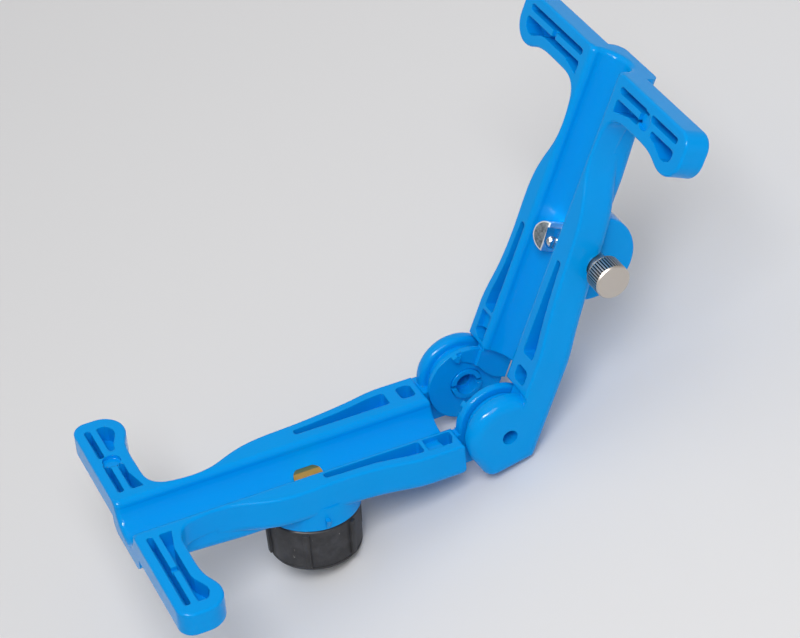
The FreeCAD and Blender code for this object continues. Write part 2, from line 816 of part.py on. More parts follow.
def blade():
    x0 = axis_x - blade_width / 2
    x1 = axis_x + blade_width / 2
    z1 = -post_top + blade_proud
    z0 = z1 - blade_height
    side = [vec(x0, 0, z0), vec(x1, 0, z0), vec(x1, 0, z1 - 2.2), vec(x1 - 1.6, 0, z1 - 0.5),
            vec(x0, 0, z1)]
    solid = prism(side, vec(0, blade_thick, 0))
    screw = cylinder(blade_screw_radius, vec(axis_x + blade_screw_off, -past,
                     -post_top - blade_screw_drop), Y_AXIS, 2 * past)
    return solid.cut(screw)


def blade_screw():
    at = vec(axis_x + blade_screw_off, blade_thick, -post_top - blade_screw_drop)
    head = cylinder(blade_screw_head, at, Y_AXIS, blade_screw_head_height)
    rims = [e for e in head.Edges if abs(e.BoundBox.YMin - at.y - blade_screw_head_height) < 1e-4
            and e.BoundBox.YLength < 1e-4]
    head = head.makeFillet(0.35, rims)
    shank = cylinder(blade_screw_radius, vec(at.x, -blade_screw_length, at.z), Y_AXIS,
                     blade_screw_length + at.y)
    slot_cut = box(at.x - 3, at.x + 3, at.y + blade_screw_head_height - 0.45, at.y + 5,
                   at.z - 0.22, at.z + 0.22)
    return head.fuse(shank).cut(slot_cut)


def thumb_screw():
    z = -screw_drop
    head = cylinder(head_radius, vec(axis_x, head_start, z), Y_AXIS, head_length)
    rims = [e for e in head.Edges if e.BoundBox.YLength < 1e-4]
    head = head.makeChamfer(head_chamfer, rims)
    grooves = []
    for k in range(knurls):
        angle = 2 * math.pi * k / knurls
        side = knurl_depth * math.sqrt(2)
        groove = Part.makeBox(side, head_length + 2, side, vec(-side / 2, head_start - 1, -side / 2))
        groove.rotate(vec(0, 0, 0), Y_AXIS, 45)
        groove.translate(vec(head_radius, 0, 0))
        groove.rotate(vec(0, 0, 0), Y_AXIS, math.degrees(angle))
        groove.translate(vec(axis_x, 0, z))
        grooves.append(groove)
    head = head.cut(grooves)
    collar = cylinder(collar_radius, vec(axis_x, arch_half, z), Y_AXIS, head_start - arch_half)
    tip = post_radius + thumb_tip_gap
    shank = cylinder(thumb_radius, vec(axis_x, tip, z), Y_AXIS, head_start - tip)
    return head.fuse([collar, shank])


def screw_insert():
    start = vec(axis_x, arch_half - insert_length, -screw_drop)
    ring = cylinder(insert_radius, start, Y_AXIS, insert_length)
    return ring.cut(cylinder(thumb_radius + fit_clear, start - vec(0, 1, 0), Y_AXIS, past))


# The tool stands on the knob's rounded edge and on the back corners of the ears

def rest_angle():
    """Tilt at which the ears' corner and the rounding of the knob touch one level."""
    along = ear_back_reach - (axis_x + knob_radius - knob_round)
    down = -rail_depth - (knob_bottom + knob_round)
    reach = math.hypot(along, down)
    return math.degrees(math.atan2(down, along) + math.asin(knob_round / reach))


rest_deg = rest_angle()


def place_lower(shape):
    shape.rotate(vec(0, 0, 0), Y_AXIS, rest_deg)
    return shape


def place_upper(shape):
    shape.rotate(vec(0, 0, 0), X_AXIS, 180)
    shape.rotate(vec(0, 0, 0), Y_AXIS, opening_deg + rest_deg)
    return shape


def build():
    lower = {
        "lower_arm": arm("lower"),
        "depth_knob": depth_knob(),
        "knob_cap": knob_cap(),
        "stud_nut": stud_nut(),
        "knob_stud": knob_stud(),
        "stud_clip": stud_clip(),
        "stud_bush": stud_bush(),
        "thrust_washer": thrust_washer(),
        "pressure_pad": pressure_pad(),
    }
    upper = {
        "upper_arm": arm("upper"),
        "blade_post": blade_post(),
        "blade": blade(),
        "blade_screw": blade_screw(),
        "thumb_screw": thumb_screw(),
        "screw_insert": screw_insert(),
    }
    nodes = {}
    for name, shape in lower.items():
        nodes[name] = place_lower(shape)
    for name, shape in upper.items():
        nodes[name] = place_upper(shape)
    return nodes


os.makedirs("parts", exist_ok=True)
nodes = build()
whole = Part.makeCompound(list(nodes.values()))
bound = whole.optimalBoundingBox(False, False)
shift = vec(-(bound.XMin + bound.XMax) / 2, -(bound.YMin + bound.YMax) / 2, -bound.ZMin)
for name, shape in nodes.items():
    shape.translate(shift)
    shape.exportStep("parts/" + name + ".step")
    print(name, "solids", len(shape.Solids), "valid", shape.isValid(), "mm3", round(shape.Volume, 1))
print("box", round(bound.XLength, 2), round(bound.YLength, 2), round(bound.ZLength, 2))
print("rest tilt", round(rest_deg, 4), "hinge axis at", [round(v, 4) for v in shift])
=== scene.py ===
# %% [markdown]
# # Hinged slitter
# A hinged hand tool: two blue moulded arms, a black knob, a bright post with a blade and a knurled thumb screw.
# The frame holds the rigid pieces at their real size. This script gives every piece its finish, and models again the
# small turned and moulded pieces whose fine detail, such as ribs, knurls and chamfers, catches the eye.

# %% Frame
import json
import math
import bmesh
import bpy
from mathutils import Matrix, Vector


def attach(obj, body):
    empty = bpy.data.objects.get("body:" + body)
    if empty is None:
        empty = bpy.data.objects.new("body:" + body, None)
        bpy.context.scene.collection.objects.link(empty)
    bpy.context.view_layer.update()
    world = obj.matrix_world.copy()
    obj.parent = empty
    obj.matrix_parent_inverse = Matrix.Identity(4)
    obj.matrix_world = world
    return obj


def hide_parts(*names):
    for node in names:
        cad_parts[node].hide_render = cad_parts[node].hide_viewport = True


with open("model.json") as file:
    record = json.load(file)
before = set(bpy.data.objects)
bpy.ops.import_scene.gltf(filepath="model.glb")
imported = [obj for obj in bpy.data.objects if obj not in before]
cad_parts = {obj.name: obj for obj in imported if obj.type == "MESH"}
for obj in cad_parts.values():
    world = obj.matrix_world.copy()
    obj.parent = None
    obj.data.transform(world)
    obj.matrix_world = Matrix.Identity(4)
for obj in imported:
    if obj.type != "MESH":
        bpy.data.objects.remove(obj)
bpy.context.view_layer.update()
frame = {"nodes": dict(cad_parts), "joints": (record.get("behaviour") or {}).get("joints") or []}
NODES = frame["nodes"]
JOINTS = {joint["name"]: joint for joint in frame["joints"]}
MM = 0.001

# %% [markdown]
# The tool was drawn with its lower arm level. As stored it is tilted, so that it stands on its knob and its hinge
# ears. The hinge joint gives the place of the hinge axis, and the knob's axis gives the tilt. With these two, a place
# that is easy to say beside a level arm, such as 54 mm from the hinge, becomes a place in the frame. The upper arm is
# the same arm turned over, and opened about the hinge.

# %% Places on the arms
OPENING = math.radians(113.2)
HINGE = Vector(JOINTS["arm_hinge"]["pos_m"])
NORMAL = Vector(JOINTS["knob_turn"]["axis"])
TILT = math.atan2(NORMAL.x, NORMAL.z)
LOWER = Matrix.Translation(HINGE) @ Matrix.Rotation(TILT, 4, "Y")
FLIP = Matrix.Rotation(math.pi, 4, "X")
UPPER = Matrix.Translation(HINGE) @ Matrix.Rotation(TILT + OPENING, 4, "Y") @ FLIP
POST_X = -54.4      # mm, knob, pad and blade post stand this far from the hinge
SCREW_Z = -11.0     # mm, from the mating face of the upper arm to the thumb screw's axis
print("tilt", round(math.degrees(TILT), 2), "degrees, opened", round(math.degrees(OPENING), 1))

# %% [markdown]
# The camera is a long lens, far away, looking down from the side. Its place and its turn are given beside the level
# lower arm, because that is how they were measured, and then tilted with the arm. The focal length was measured in
# pixels of an image that is 800 wide, and the width of the sensor turns it to the millimetres that a lens is sold by.

# %% Camera
CAMERA_PLACE = (-240.777, -547.718, 464.158)    # mm from the hinge
CAMERA_RIGHT = Vector((0.9088, -0.4121, -0.0646))
CAMERA_DOWN = Vector((-0.2903, -0.5138, -0.8073))
FOCAL_PIXELS = 2612.1
IMAGE_WIDTH = 800       # pixels
SENSOR = 36.0           # mm
NEAREST = 0.05          # m, what is closer to the camera isn't drawn
FARTHEST = 20.0         # m, nor what is beyond this

camera = bpy.data.objects.new("camera", bpy.data.cameras.new("camera"))
bpy.context.scene.collection.objects.link(camera)
right = CAMERA_RIGHT.normalized()
back = right.cross(-CAMERA_DOWN).normalized()
up = back.cross(right)
turn = Matrix((right, up, back)).transposed().to_4x4()
camera.matrix_world = LOWER @ Matrix.Translation(Vector(CAMERA_PLACE) * MM) @ turn
camera.data.sensor_width = SENSOR
camera.data.lens = FOCAL_PIXELS / IMAGE_WIDTH * SENSOR
camera.data.clip_start = NEAREST
camera.data.clip_end = FARTHEST
bpy.context.scene.camera = camera
print("lens", round(camera.data.lens, 1), "mm")

# %% [markdown]
# Every material is built the same way: a Principled shader, and nodes that vary it a little. So one small function
# adds a node: its own options are given by name, and each of its inputs gets either a value or the output of another
# node. Colours are written as sRGB hex values, as seen on a screen, and one function turns them to linear light.

# %% Helpers for materials
def linear(hex_color):
    """An sRGB hex colour as the linear RGBA that Blender computes with."""
    values = [int(hex_color[i:i + 2], 16) / 255 for i in (1, 3, 5)]
    return [v / 12.92 if v <= 0.04045 else ((v + 0.055) / 1.055) ** 2.4 for v in values] + [1.0]


def add_node(tree, kind, inputs=None, **options):
    """Add one shader node, set its options, and set or link its inputs."""
    node = tree.nodes.new("ShaderNode" + kind)
    for name, value in options.items():
        setattr(node, name, value)
    for name, value in (inputs or {}).items():
        if isinstance(value, bpy.types.NodeSocket):
            tree.links.new(value, node.inputs[name])
        else:
            node.inputs[name].default_value = value
    return node


def new_material(name, color, roughness, metallic=0.0):
    """A material with its Principled shader, and the tree that both live in."""
    material = bpy.data.materials.new(name)
    material.use_nodes = True
    tree = material.node_tree
    shader = tree.nodes["Principled BSDF"]
    shader.inputs["Base Color"].default_value = linear(color)
    shader.inputs["Roughness"].default_value = roughness
    shader.inputs["Metallic"].default_value = metallic
    return material, tree, shader


def per_metre(millimetres):
    """The texture scale at which one step of the pattern is this long on the object."""
    return 1 / (millimetres * MM)


print("white turns to", linear("#FFFFFF"), "and a step of 2 mm to a scale of", per_metre(2.0))

# %% [markdown]
# The arms are injection moulded ABS, coloured through in a strong blue. The mould leaves a half-glossy skin with a
# very fine grain: its highlights are short, with soft ends, and its edges are never quite sharp. Two shades of the
# blue, mixed by a slow noise, stand for the faint flow of the plastic. The grain is a low bump, and it also varies the
# roughness a little. A Bevel node rounds the shading of the edges by about half a millimetre, which gives slot rims
# and corners the thin line of light that moulded edges have. The specular level is low, so that the blue stays deep
# where a face mirrors the pale room.

# %% Blue ABS
BLUE = "#009AEA"
BLUE_FLOW = "#0093E4"
FLOW_MM = 26.0          # length over which the shade drifts
GRAIN_MM = 0.45         # real grain is about 0.1 mm, drawn coarser so that it shows
GRAIN_DEPTH_MM = 0.05
EDGE_MM = 0.45          # rounding that a mould gives its edges

blue_abs, tree, shader = new_material("moulded_abs_blue", BLUE, 0.14)
shader.inputs["IOR"].default_value = 1.46
shader.inputs["Specular IOR Level"].default_value = 0.11
place = add_node(tree, "TexCoord").outputs["Object"]
flow = add_node(tree, "TexNoise", {"Vector": place, "Scale": per_metre(FLOW_MM), "Detail": 2.0})
shade = add_node(tree, "Mix", {0: flow.outputs["Fac"], 6: linear(BLUE_FLOW), 7: linear(BLUE)}, data_type="RGBA")
tree.links.new(shade.outputs[2], shader.inputs["Base Color"])
grain = add_node(tree, "TexNoise", {"Vector": place, "Scale": per_metre(GRAIN_MM), "Detail": 3.0})
gloss = add_node(tree, "MapRange", {"Value": grain.outputs["Fac"], "To Min": 0.12, "To Max": 0.16})
tree.links.new(gloss.outputs["Result"], shader.inputs["Roughness"])
edge = add_node(tree, "Bevel", {"Radius": EDGE_MM * MM}, samples=6)
bump = add_node(tree, "Bump", {"Height": grain.outputs["Fac"], "Strength": 0.05, "Distance": GRAIN_DEPTH_MM * MM,
                               "Normal": edge.outputs["Normal"]})
tree.links.new(bump.outputs["Normal"], shader.inputs["Normal"])
print("material", blue_abs.name, "grain", GRAIN_MM, "mm")

# %% [markdown]
# The knob is glass filled nylon, moulded in black. It has been used: its skin is dull, dust and rubbing have greyed
# it in patches, and a few short scuffs stand out. The patches are a soft noise. A scuff is where a noise that is
# stretched along one direction rises above a high threshold, so only its few peaks show.

# %% Black nylon
BLACK = "#232326"
WORN = "#3D3D41"
SCUFF = "#8E8C88"
PATCH_MM = 6.0
SCUFF_MM = 1.6
SCUFF_TURN = (0.4, 0.9, 0.3)        # radians, so that the scuffs run aslant over the ribs
SCUFF_STRETCH = (1.0, 1.0, 0.25)    # four times as long as wide
SKIN_MM = 0.5                       # real grain is finer, drawn coarser so that it shows

black_nylon, tree, shader = new_material("moulded_nylon_black", BLACK, 0.5)
shader.inputs["IOR"].default_value = 1.53
shader.inputs["Specular IOR Level"].default_value = 0.42
place = add_node(tree, "TexCoord").outputs["Object"]
patches = add_node(tree, "TexNoise", {"Vector": place, "Scale": per_metre(PATCH_MM), "Detail": 6.0,
                                      "Roughness": 0.65})
worn = add_node(tree, "MapRange", {"Value": patches.outputs["Fac"], "From Min": 0.45, "From Max": 0.72})
base = add_node(tree, "Mix", {0: worn.outputs["Result"], 6: linear(BLACK), 7: linear(WORN)}, data_type="RGBA")
stretch = add_node(tree, "Mapping", {"Vector": place, "Rotation": SCUFF_TURN, "Scale": SCUFF_STRETCH})
scratch = add_node(tree, "TexNoise", {"Vector": stretch.outputs["Vector"], "Scale": per_metre(SCUFF_MM),
                                      "Detail": 4.0, "Roughness": 0.7})
peaks = add_node(tree, "MapRange", {"Value": scratch.outputs["Fac"], "From Min": 0.66, "From Max": 0.70})
color = add_node(tree, "Mix", {0: peaks.outputs["Result"], 6: base.outputs[2], 7: linear(SCUFF)},
                 data_type="RGBA")
tree.links.new(color.outputs[2], shader.inputs["Base Color"])
dull = add_node(tree, "MapRange", {"Value": patches.outputs["Fac"], "To Min": 0.42, "To Max": 0.62})
tree.links.new(dull.outputs["Result"], shader.inputs["Roughness"])
fine = add_node(tree, "TexNoise", {"Vector": place, "Scale": per_metre(SKIN_MM), "Detail": 3.0})
bump = add_node(tree, "Bump", {"Height": fine.outputs["Fac"], "Strength": 0.25, "Distance": GRAIN_DEPTH_MM * MM})
tree.links.new(bump.outputs["Normal"], shader.inputs["Normal"])
print("material", black_nylon.name, "scuffs", SCUFF_MM, "mm wide")

# %% [markdown]
# Faint lines in one direction tell a machined metal from a cast one: rings about the axis on a turned face, straight
# lines on a ground one. Both come from a Wave texture. The piece stands aslant in the frame, so the coordinates are
# first turned back beside the level arm, and then moved to the piece's own axis. Every metal here is also a little
# uneven in its gloss, as handled metal is.

# %% Helpers for metals
LINE_DEPTH_MM = 0.02
UNEVEN_MM = 1.5         # size of the patches in the gloss


def beside_arm(tree, arm, center):
    """Texture coordinates beside the level arm: the frame's own place, turned back and moved to the centre."""
    back = arm.inverted()
    place = add_node(tree, "TexCoord").outputs["Object"]
    place = add_node(tree, "Mapping", {"Vector": place, "Location": back.to_translation(),
                                       "Rotation": back.to_euler("XYZ")}).outputs["Vector"]
    return add_node(tree, "VectorMath", {0: place, 1: Vector(center) * MM}, operation="SUBTRACT").outputs["Vector"]


def from_axis(tree, axes, first, second):
    """The distance from an axis, which is the length of the two coordinates across it."""
    across = add_node(tree, "CombineXYZ", {first: axes.outputs[first], second: axes.outputs[second]})
    return add_node(tree, "VectorMath", {0: across.outputs["Vector"]}, operation="LENGTH").outputs["Value"]


def lined_metal(name, color, roughness, lines_mm, depth, arm=None, center=(0, 0, 0), rings=None):
    """A metal with fine tool lines: rings about one axis of the arm, or straight lines across it."""
    material, tree, shader = new_material(name, color, roughness, metallic=1.0)
    place = beside_arm(tree, arm, center) if arm else add_node(tree, "TexCoord").outputs["Object"]
    options = {"wave_type": "RINGS", "rings_direction": rings} if rings else {"wave_type": "BANDS"}
    # One period of the wave texture is pi / 10 of its coordinate.
    lines = add_node(tree, "TexWave", {"Vector": place, "Scale": per_metre(lines_mm) * math.pi / 10,
                                       "Distortion": 0.4, "Detail": 1.0}, **options)
    spread = add_node(tree, "TexNoise", {"Vector": place, "Scale": per_metre(UNEVEN_MM), "Detail": 2.0})
    rough = add_node(tree, "MapRange", {"Value": spread.outputs["Fac"], "To Min": roughness - 0.05,
                                        "To Max": roughness + 0.07})
    tree.links.new(rough.outputs["Result"], shader.inputs["Roughness"])
    bump = add_node(tree, "Bump", {"Height": lines.outputs["Fac"], "Strength": depth,
                                   "Distance": LINE_DEPTH_MM * MM})
    tree.links.new(bump.outputs["Normal"], shader.inputs["Normal"])
    return material


print("tool lines", LINE_DEPTH_MM, "mm deep")

# %% [markdown]
# The metals differ in how they were made. The thumb screw is brass, turned and nickel plated: warm grey, and soft in
# its reflections. The post is ground stainless steel, a cooler grey. The blade and its screw are the same steel honed,
# so they are brighter and mirror more sharply. The nut, the stud and its clip are zinc plated steel, and bush, pad and
# insert are plain turned brass. The washer is the one pale plastic: white acetal, which slides well.

# %% Metals
NICKEL = "#C9C1B8"
nickel = lined_metal("nickel_plated_brass", NICKEL, 0.34, 0.3, 0.15, UPPER, (POST_X, 0, SCREW_Z), "Y")
ground_steel = lined_metal("ground_stainless_steel", "#A9AEB3", 0.3, 0.35, 0.25, UPPER, (POST_X, 0, 0))
honed_steel = lined_metal("honed_blade_steel", "#D9DCDE", 0.16, 0.35, 0.1, UPPER, (POST_X, 0, 0))
zinc_steel = lined_metal("zinc_plated_steel", "#B9BBBD", 0.32, 0.5, 0.1)
turned_brass = lined_metal("turned_brass", "#C8A45C", 0.3, 0.4, 0.15)
white_acetal, tree, shader = new_material("moulded_acetal_white", "#E4E3DF", 0.4)
print("metals:", ", ".join(m.name for m in (nickel, ground_steel, honed_steel, zinc_steel, turned_brass)))

# %% [markdown]
# The grooves of a knurl lie in shade between its crests. Here that shade is painted into the plating's colour, dark
# in the grooves and nowhere else. So the shader asks how far a place is from the screw's axis: at the crests it is
# plated, at the floor of the grooves it gets the painted shade, and a second test keeps it inside the knurled band.

# %% Painted shade in the knurl
# The dark colour here is painted shade, standing in for the shade in the knurl's grooves.
KNURL_SHADE = "#2A2827"
KNURL_MIDDLE = 21.4     # mm from the arm's middle plane, along the screw
KNURL_HALF = 2.7        # mm, half the band's length
KNURL_FLOOR = 4.85      # mm from the screw's axis
KNURL_CREST = 5.15

tree = nickel.node_tree
axes = add_node(tree, "SeparateXYZ", {"Vector": beside_arm(tree, UPPER, (POST_X, KNURL_MIDDLE, SCREW_Z))})
radius = from_axis(tree, axes, "X", "Z")
along = add_node(tree, "Math", {0: axes.outputs["Y"]}, operation="ABSOLUTE")
in_groove = add_node(tree, "MapRange", {"Value": radius, "From Min": KNURL_FLOOR * MM,
                                        "From Max": KNURL_CREST * MM, "To Min": 1.0, "To Max": 0.0})
in_band = add_node(tree, "Math", {0: along.outputs["Value"], 1: KNURL_HALF * MM}, operation="LESS_THAN")
# Mask of the painted shade: deep in a groove and inside the knurled band.
groove_shade = add_node(tree, "Math", {0: in_groove.outputs["Result"], 1: in_band.outputs["Value"]}, operation="MULTIPLY")
plated = add_node(tree, "Mix", {0: groove_shade.outputs["Value"], 6: linear(NICKEL), 7: linear(KNURL_SHADE)}, data_type="RGBA")
tree.links.new(plated.outputs[2], tree.nodes["Principled BSDF"].inputs["Base Color"])
print("dirt from", KNURL_FLOOR, "to", KNURL_CREST, "mm from the screw's axis")

# %% [markdown]
# The post's ground face is mottled: patches of a darker, duller grey, from a noise whose middle range is spread wide.
# Its rim and its cut edge get a painted highlight, a near white that stands for the light these edges catch. The rim
# is what lies far from the post's axis, and the cut edge is what lies close to the plane that halves the head.
# Whichever of the two is stronger decides.

# %% Ground face of the post
MOTTLE_DARK = "#67717A"
MOTTLE_PALE = "#A8B3BC"
# Near white: the painted highlight on the post's rim and cut edge.
RIM_HIGHLIGHT = "#FBFCFD"
MOTTLE_MM = 1.1
RIM_INSIDE = 4.0        # mm from the post's axis, where its bright rim starts
CUT_EDGE_WIDE = 0.6     # mm, bright band along the post's cut edge
BORDER = 0.15           # mm over which both fade

tree = ground_steel.node_tree
place = beside_arm(tree, UPPER, (POST_X, 0, 0))
patches = add_node(tree, "TexNoise", {"Vector": place, "Scale": per_metre(MOTTLE_MM), "Detail": 5.0,
                                      "Roughness": 0.7})
spread = add_node(tree, "MapRange", {"Value": patches.outputs["Fac"], "From Min": 0.38, "From Max": 0.62})
mottled = add_node(tree, "Mix", {0: spread.outputs["Result"], 6: linear(MOTTLE_DARK), 7: linear(MOTTLE_PALE)},
                   data_type="RGBA")
axes = add_node(tree, "SeparateXYZ", {"Vector": place})
radius = from_axis(tree, axes, "X", "Y")
rim = add_node(tree, "MapRange", {"Value": radius, "From Min": RIM_INSIDE * MM,
                                  "From Max": (RIM_INSIDE + BORDER) * MM})
cut_edge = add_node(tree, "MapRange", {"Value": axes.outputs["Y"], "From Min": -CUT_EDGE_WIDE * MM,
                                       "From Max": -(CUT_EDGE_WIDE - BORDER) * MM})
# Where the rim or the cut edge is, the colour turns to the painted highlight.
highlight_mask = add_node(tree, "Math", {0: rim.outputs["Result"], 1: cut_edge.outputs["Result"]}, operation="MAXIMUM")
bright = add_node(tree, "Mix", {0: highlight_mask.outputs["Value"], 6: mottled.outputs[2], 7: linear(RIM_HIGHLIGHT)},
                  data_type="RGBA")
tree.links.new(bright.outputs[2], tree.nodes["Principled BSDF"].inputs["Base Color"])
print("rim bright from", RIM_INSIDE, "mm, cut edge", CUT_EDGE_WIDE, "mm wide")

# %% [markdown]
# The new pieces are modelled as by hand. Each starts as a primitive on its own axis at the origin, in metres. Edit
# mode acts on what is selected, so one helper selects the faces or edges whose middle passes a test, and another
# selects all and cuts with a plane. When a piece is done, a last helper gives it its material and moves it to its
# place on the arm. It puts that place into the mesh, so that the object itself stays at the origin and its textures
# keep the frame's coordinates.

# %% Helpers for modelling
CLOSE = 0.01                    # mm, heights that differ by less are the same
NEAR_RIM = 0.1                  # mm, edges this close to the outer radius belong to the rim
STEEP = 0.3                     # a face whose normal rises less than this is an upright wall
MERGE = 1e-6                    # m, corners nearer than this become one
SHARP = math.radians(32)        # edges that turn more than this are rounded, and shaded hard
ROUNDING_STEPS = 2
ALONG_Z = Matrix.Identity(4)
ALONG_Y = Matrix.Rotation(-math.pi / 2, 4, "X")


def start(add, name, **settings):
    """Add a primitive with nothing else selected, and open it in edit mode."""
    bpy.ops.object.select_all(action="DESELECT")
    add(**settings)
    piece = bpy.context.object
    piece.name = name
    bpy.ops.object.mode_set(mode="EDIT")
    return piece


def select(piece, kind, test):
    """Select the faces or edges whose middle, in millimetres, passes the test."""
    bpy.ops.mesh.select_all(action="DESELECT")
    bpy.ops.mesh.select_mode(type=kind)
    mesh = bmesh.from_edit_mesh(piece.data)
    items = mesh.faces if kind == "FACE" else mesh.edges
    count = 0
    for item in items:
        middle = sum((v.co for v in item.verts), Vector()) / len(item.verts) / MM
        if test(middle, item):
            item.select_set(True)
            count += 1
    mesh.select_flush_mode()
    bmesh.update_edit_mesh(piece.data)
    return count


def from_z(middle):
    """How far a place is from the piece's own Z axis."""
    return math.hypot(middle.x, middle.y)


def side_number(middle, sides):
    """Which of the equal sides about the Z axis a place lies on, counted from the X axis."""
    turn = math.atan2(middle.y, middle.x) % (2 * math.pi)
    return int(turn / (2 * math.pi) * sides)


def is_level(edge):
    """Whether both ends of an edge are at one height."""
    return abs(edge.verts[0].co.z - edge.verts[1].co.z) < MERGE


def is_wall(face):
    """Whether a face stands upright."""
    return abs(face.normal.z) < STEEP


def looks_up(face):
    """Whether a face is level or a slope that is seen from above."""
    return face.normal.z > STEEP


def looks_down(face):
    """Whether a face is level or a slope that is seen from below."""
    return face.normal.z < -STEEP


def scale_about_axis(factor):
    """Widen what is selected about the piece's own Z axis."""
    bpy.ops.transform.resize(value=(factor, factor, 1), center_override=(0, 0, 0))


def cut(place, normal=(0, 0, 1), **options):
    """Cut the whole piece with a plane through a place in millimetres, which leaves a ring of new edges."""
    bpy.ops.mesh.select_all(action="SELECT")
    bpy.ops.mesh.bisect(plane_co=[value * MM for value in place], plane_no=Vector(normal).normalized(), **options)


def push(distance):
    """Extrude the selected faces upwards, in millimetres, or downwards if that is negative."""
    move = Vector((0, 0, 1)) * distance * MM
    bpy.ops.mesh.extrude_region_move(TRANSFORM_OT_translate={"value": move})


def swell(distance):
    """Extrude the selected faces outwards, each along its own normal, or inwards if that is negative."""
    bpy.ops.mesh.extrude_region_shrink_fatten(TRANSFORM_OT_shrink_fatten={"value": distance * MM})


def finish(piece, arm, place, turn, material, node, body, edge_mm):
    """Round the edges, shade, set in place, and hand the piece to its body."""
    bpy.ops.mesh.select_all(action="SELECT")
    bpy.ops.mesh.remove_doubles(threshold=MERGE)
    bpy.ops.mesh.normals_make_consistent(inside=False)
    bpy.ops.object.mode_set(mode="OBJECT")
    if edge_mm:
        rounding = piece.modifiers.new("rounding", "BEVEL")
        rounding.width = edge_mm * MM
        rounding.segments = ROUNDING_STEPS
        rounding.angle_limit = SHARP
        bpy.ops.object.modifier_apply(modifier=rounding.name)
    bpy.ops.object.shade_smooth_by_angle(angle=SHARP)
    size = ["%.2f" % (length / MM) for length in piece.dimensions]
    piece.matrix_world = arm @ Matrix.Translation(Vector(place) * MM) @ turn
    bpy.ops.object.transform_apply(location=True, rotation=True, scale=True)
    piece.data.materials.clear()
    piece.data.materials.append(material)
    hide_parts(node)
    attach(piece, body)
    print(piece.name, "for", node, "x".join(size), "mm,", len(piece.data.polygons), "faces")
    return piece


print("edges that turn more than", round(math.degrees(SHARP)), "degrees count as sharp")

# %% [markdown]
# The knob is a cup with a slight taper, six ribs to grip, a thin line at its foot, and a round recess for its cap.
# A cylinder with 96 sides is fine enough to look round. Its far end is widened for the taper. Level cuts mark where
# the ribs end and where the line runs, and the line is the ring of faces between two of them, drawn in a little.

# %% Wall of the knob
KNOB_FOOT = -30.8
KNOB_HEIGHT = 14.6
KNOB_RADIUS = 13.6
KNOB_TOP_RADIUS = 14.0
RIB_LOW = 1.6
RIB_HIGH = 13.8
LINE_LOW = RIB_LOW - 0.5
LINE_HIGH = RIB_LOW - 0.15
LINE_DEEP = -0.25       # negative draws the faces in
SIDES = 96

knob = start(bpy.ops.mesh.primitive_cylinder_add, "grip_knob", vertices=SIDES, radius=KNOB_RADIUS * MM,
             depth=KNOB_HEIGHT * MM, location=(0, 0, KNOB_HEIGHT / 2 * MM))
bpy.ops.object.mode_set(mode="OBJECT")
bpy.ops.object.transform_apply(location=True, rotation=True, scale=True)
bpy.ops.object.mode_set(mode="EDIT")
select(knob, "FACE", lambda m, f: m.z > KNOB_HEIGHT - CLOSE)
scale_about_axis(KNOB_TOP_RADIUS / KNOB_RADIUS)
for height in (LINE_LOW, LINE_HIGH, RIB_LOW, RIB_HIGH):
    cut((0, 0, height))
print("line faces", select(knob, "FACE", lambda m, f: LINE_LOW < m.z < LINE_HIGH and is_wall(f)))
swell(LINE_DEEP)

# %% [markdown]
# A rib could be a bar laid on the wall. Here it is two neighbouring side faces pushed outwards, so it is part of the
# same skin, as in a moulding. There are six, a sixth of a turn apart, and each sits evenly about its own direction.

# %% Ribs of the knob
RIBS = 6
RIB_PROUD = 0.8
PER_RIB = SIDES // RIBS


def on_rib(middle, face):
    """Whether a side face is one of the two beside a rib's direction."""
    beside = side_number(middle, SIDES) % PER_RIB in (0, PER_RIB - 1)
    return RIB_LOW < middle.z < RIB_HIGH and is_wall(face) and beside


print("rib faces", select(knob, "FACE", on_rib))
swell(RIB_PROUD)

# %% [markdown]
# From the foot, the knob is stepped inwards: a recess for the cap, a seat for the nut and a hole for the stud. Each
# step is a face inset and pushed in. At the top the same hole is inset, both faces go, and a bridge between the two
# open rings makes the wall of the hole. Last, the outer rims of both ends are rounded, because they face the hand.

# %% Recess and hole of the knob
CAP_RECESS = 8.0        # radius
CAP_DEPTH = 1.9
NUT_SEAT = 4.12         # radius
NUT_DEPTH = 3.2
STUD_HOLE = 2.05        # radius
RIM_ROUND = 0.7
RIM_STEPS = 4

select(knob, "FACE", lambda m, f: m.z < CLOSE)
bpy.ops.mesh.inset(thickness=(KNOB_RADIUS - CAP_RECESS) * MM)
push(CAP_DEPTH)
bpy.ops.mesh.inset(thickness=(CAP_RECESS - NUT_SEAT) * MM)
push(NUT_DEPTH)
bpy.ops.mesh.inset(thickness=(NUT_SEAT - STUD_HOLE) * MM)
bpy.ops.mesh.delete(type="ONLY_FACE")
select(knob, "FACE", lambda m, f: m.z > KNOB_HEIGHT - CLOSE)
bpy.ops.mesh.inset(thickness=(KNOB_TOP_RADIUS - STUD_HOLE) * MM)
bpy.ops.mesh.delete(type="ONLY_FACE")
select(knob, "EDGE", lambda m, e: e.is_boundary)
bpy.ops.mesh.bridge_edge_loops()


def knob_rim(middle, edge):
    """Whether an edge runs round the outside of one of the two ends."""
    at_end = middle.z < CLOSE or middle.z > KNOB_HEIGHT - CLOSE
    return at_end and is_level(edge) and from_z(middle) > KNOB_RADIUS - NEAR_RIM and len(edge.link_faces) == 2


select(knob, "EDGE", knob_rim)
bpy.ops.mesh.bevel(offset=RIM_ROUND * MM, segments=RIM_STEPS, affect="EDGES")
finish(knob, LOWER, (POST_X, 0, KNOB_FOOT), ALONG_Z, black_nylon, "depth_knob", "knob",
       edge_mm=0.18)

# %% [markdown]
# The thumb screw is turned from bar: a knurled head with a chamfer at both ends, a smooth collar and a thread. A
# straight knurl is pressed into the head as a row of small ridges. The head starts as a cylinder with four sides for
# each ridge. Two of the four are drawn in and make a groove, and the other two stay and make the crest.

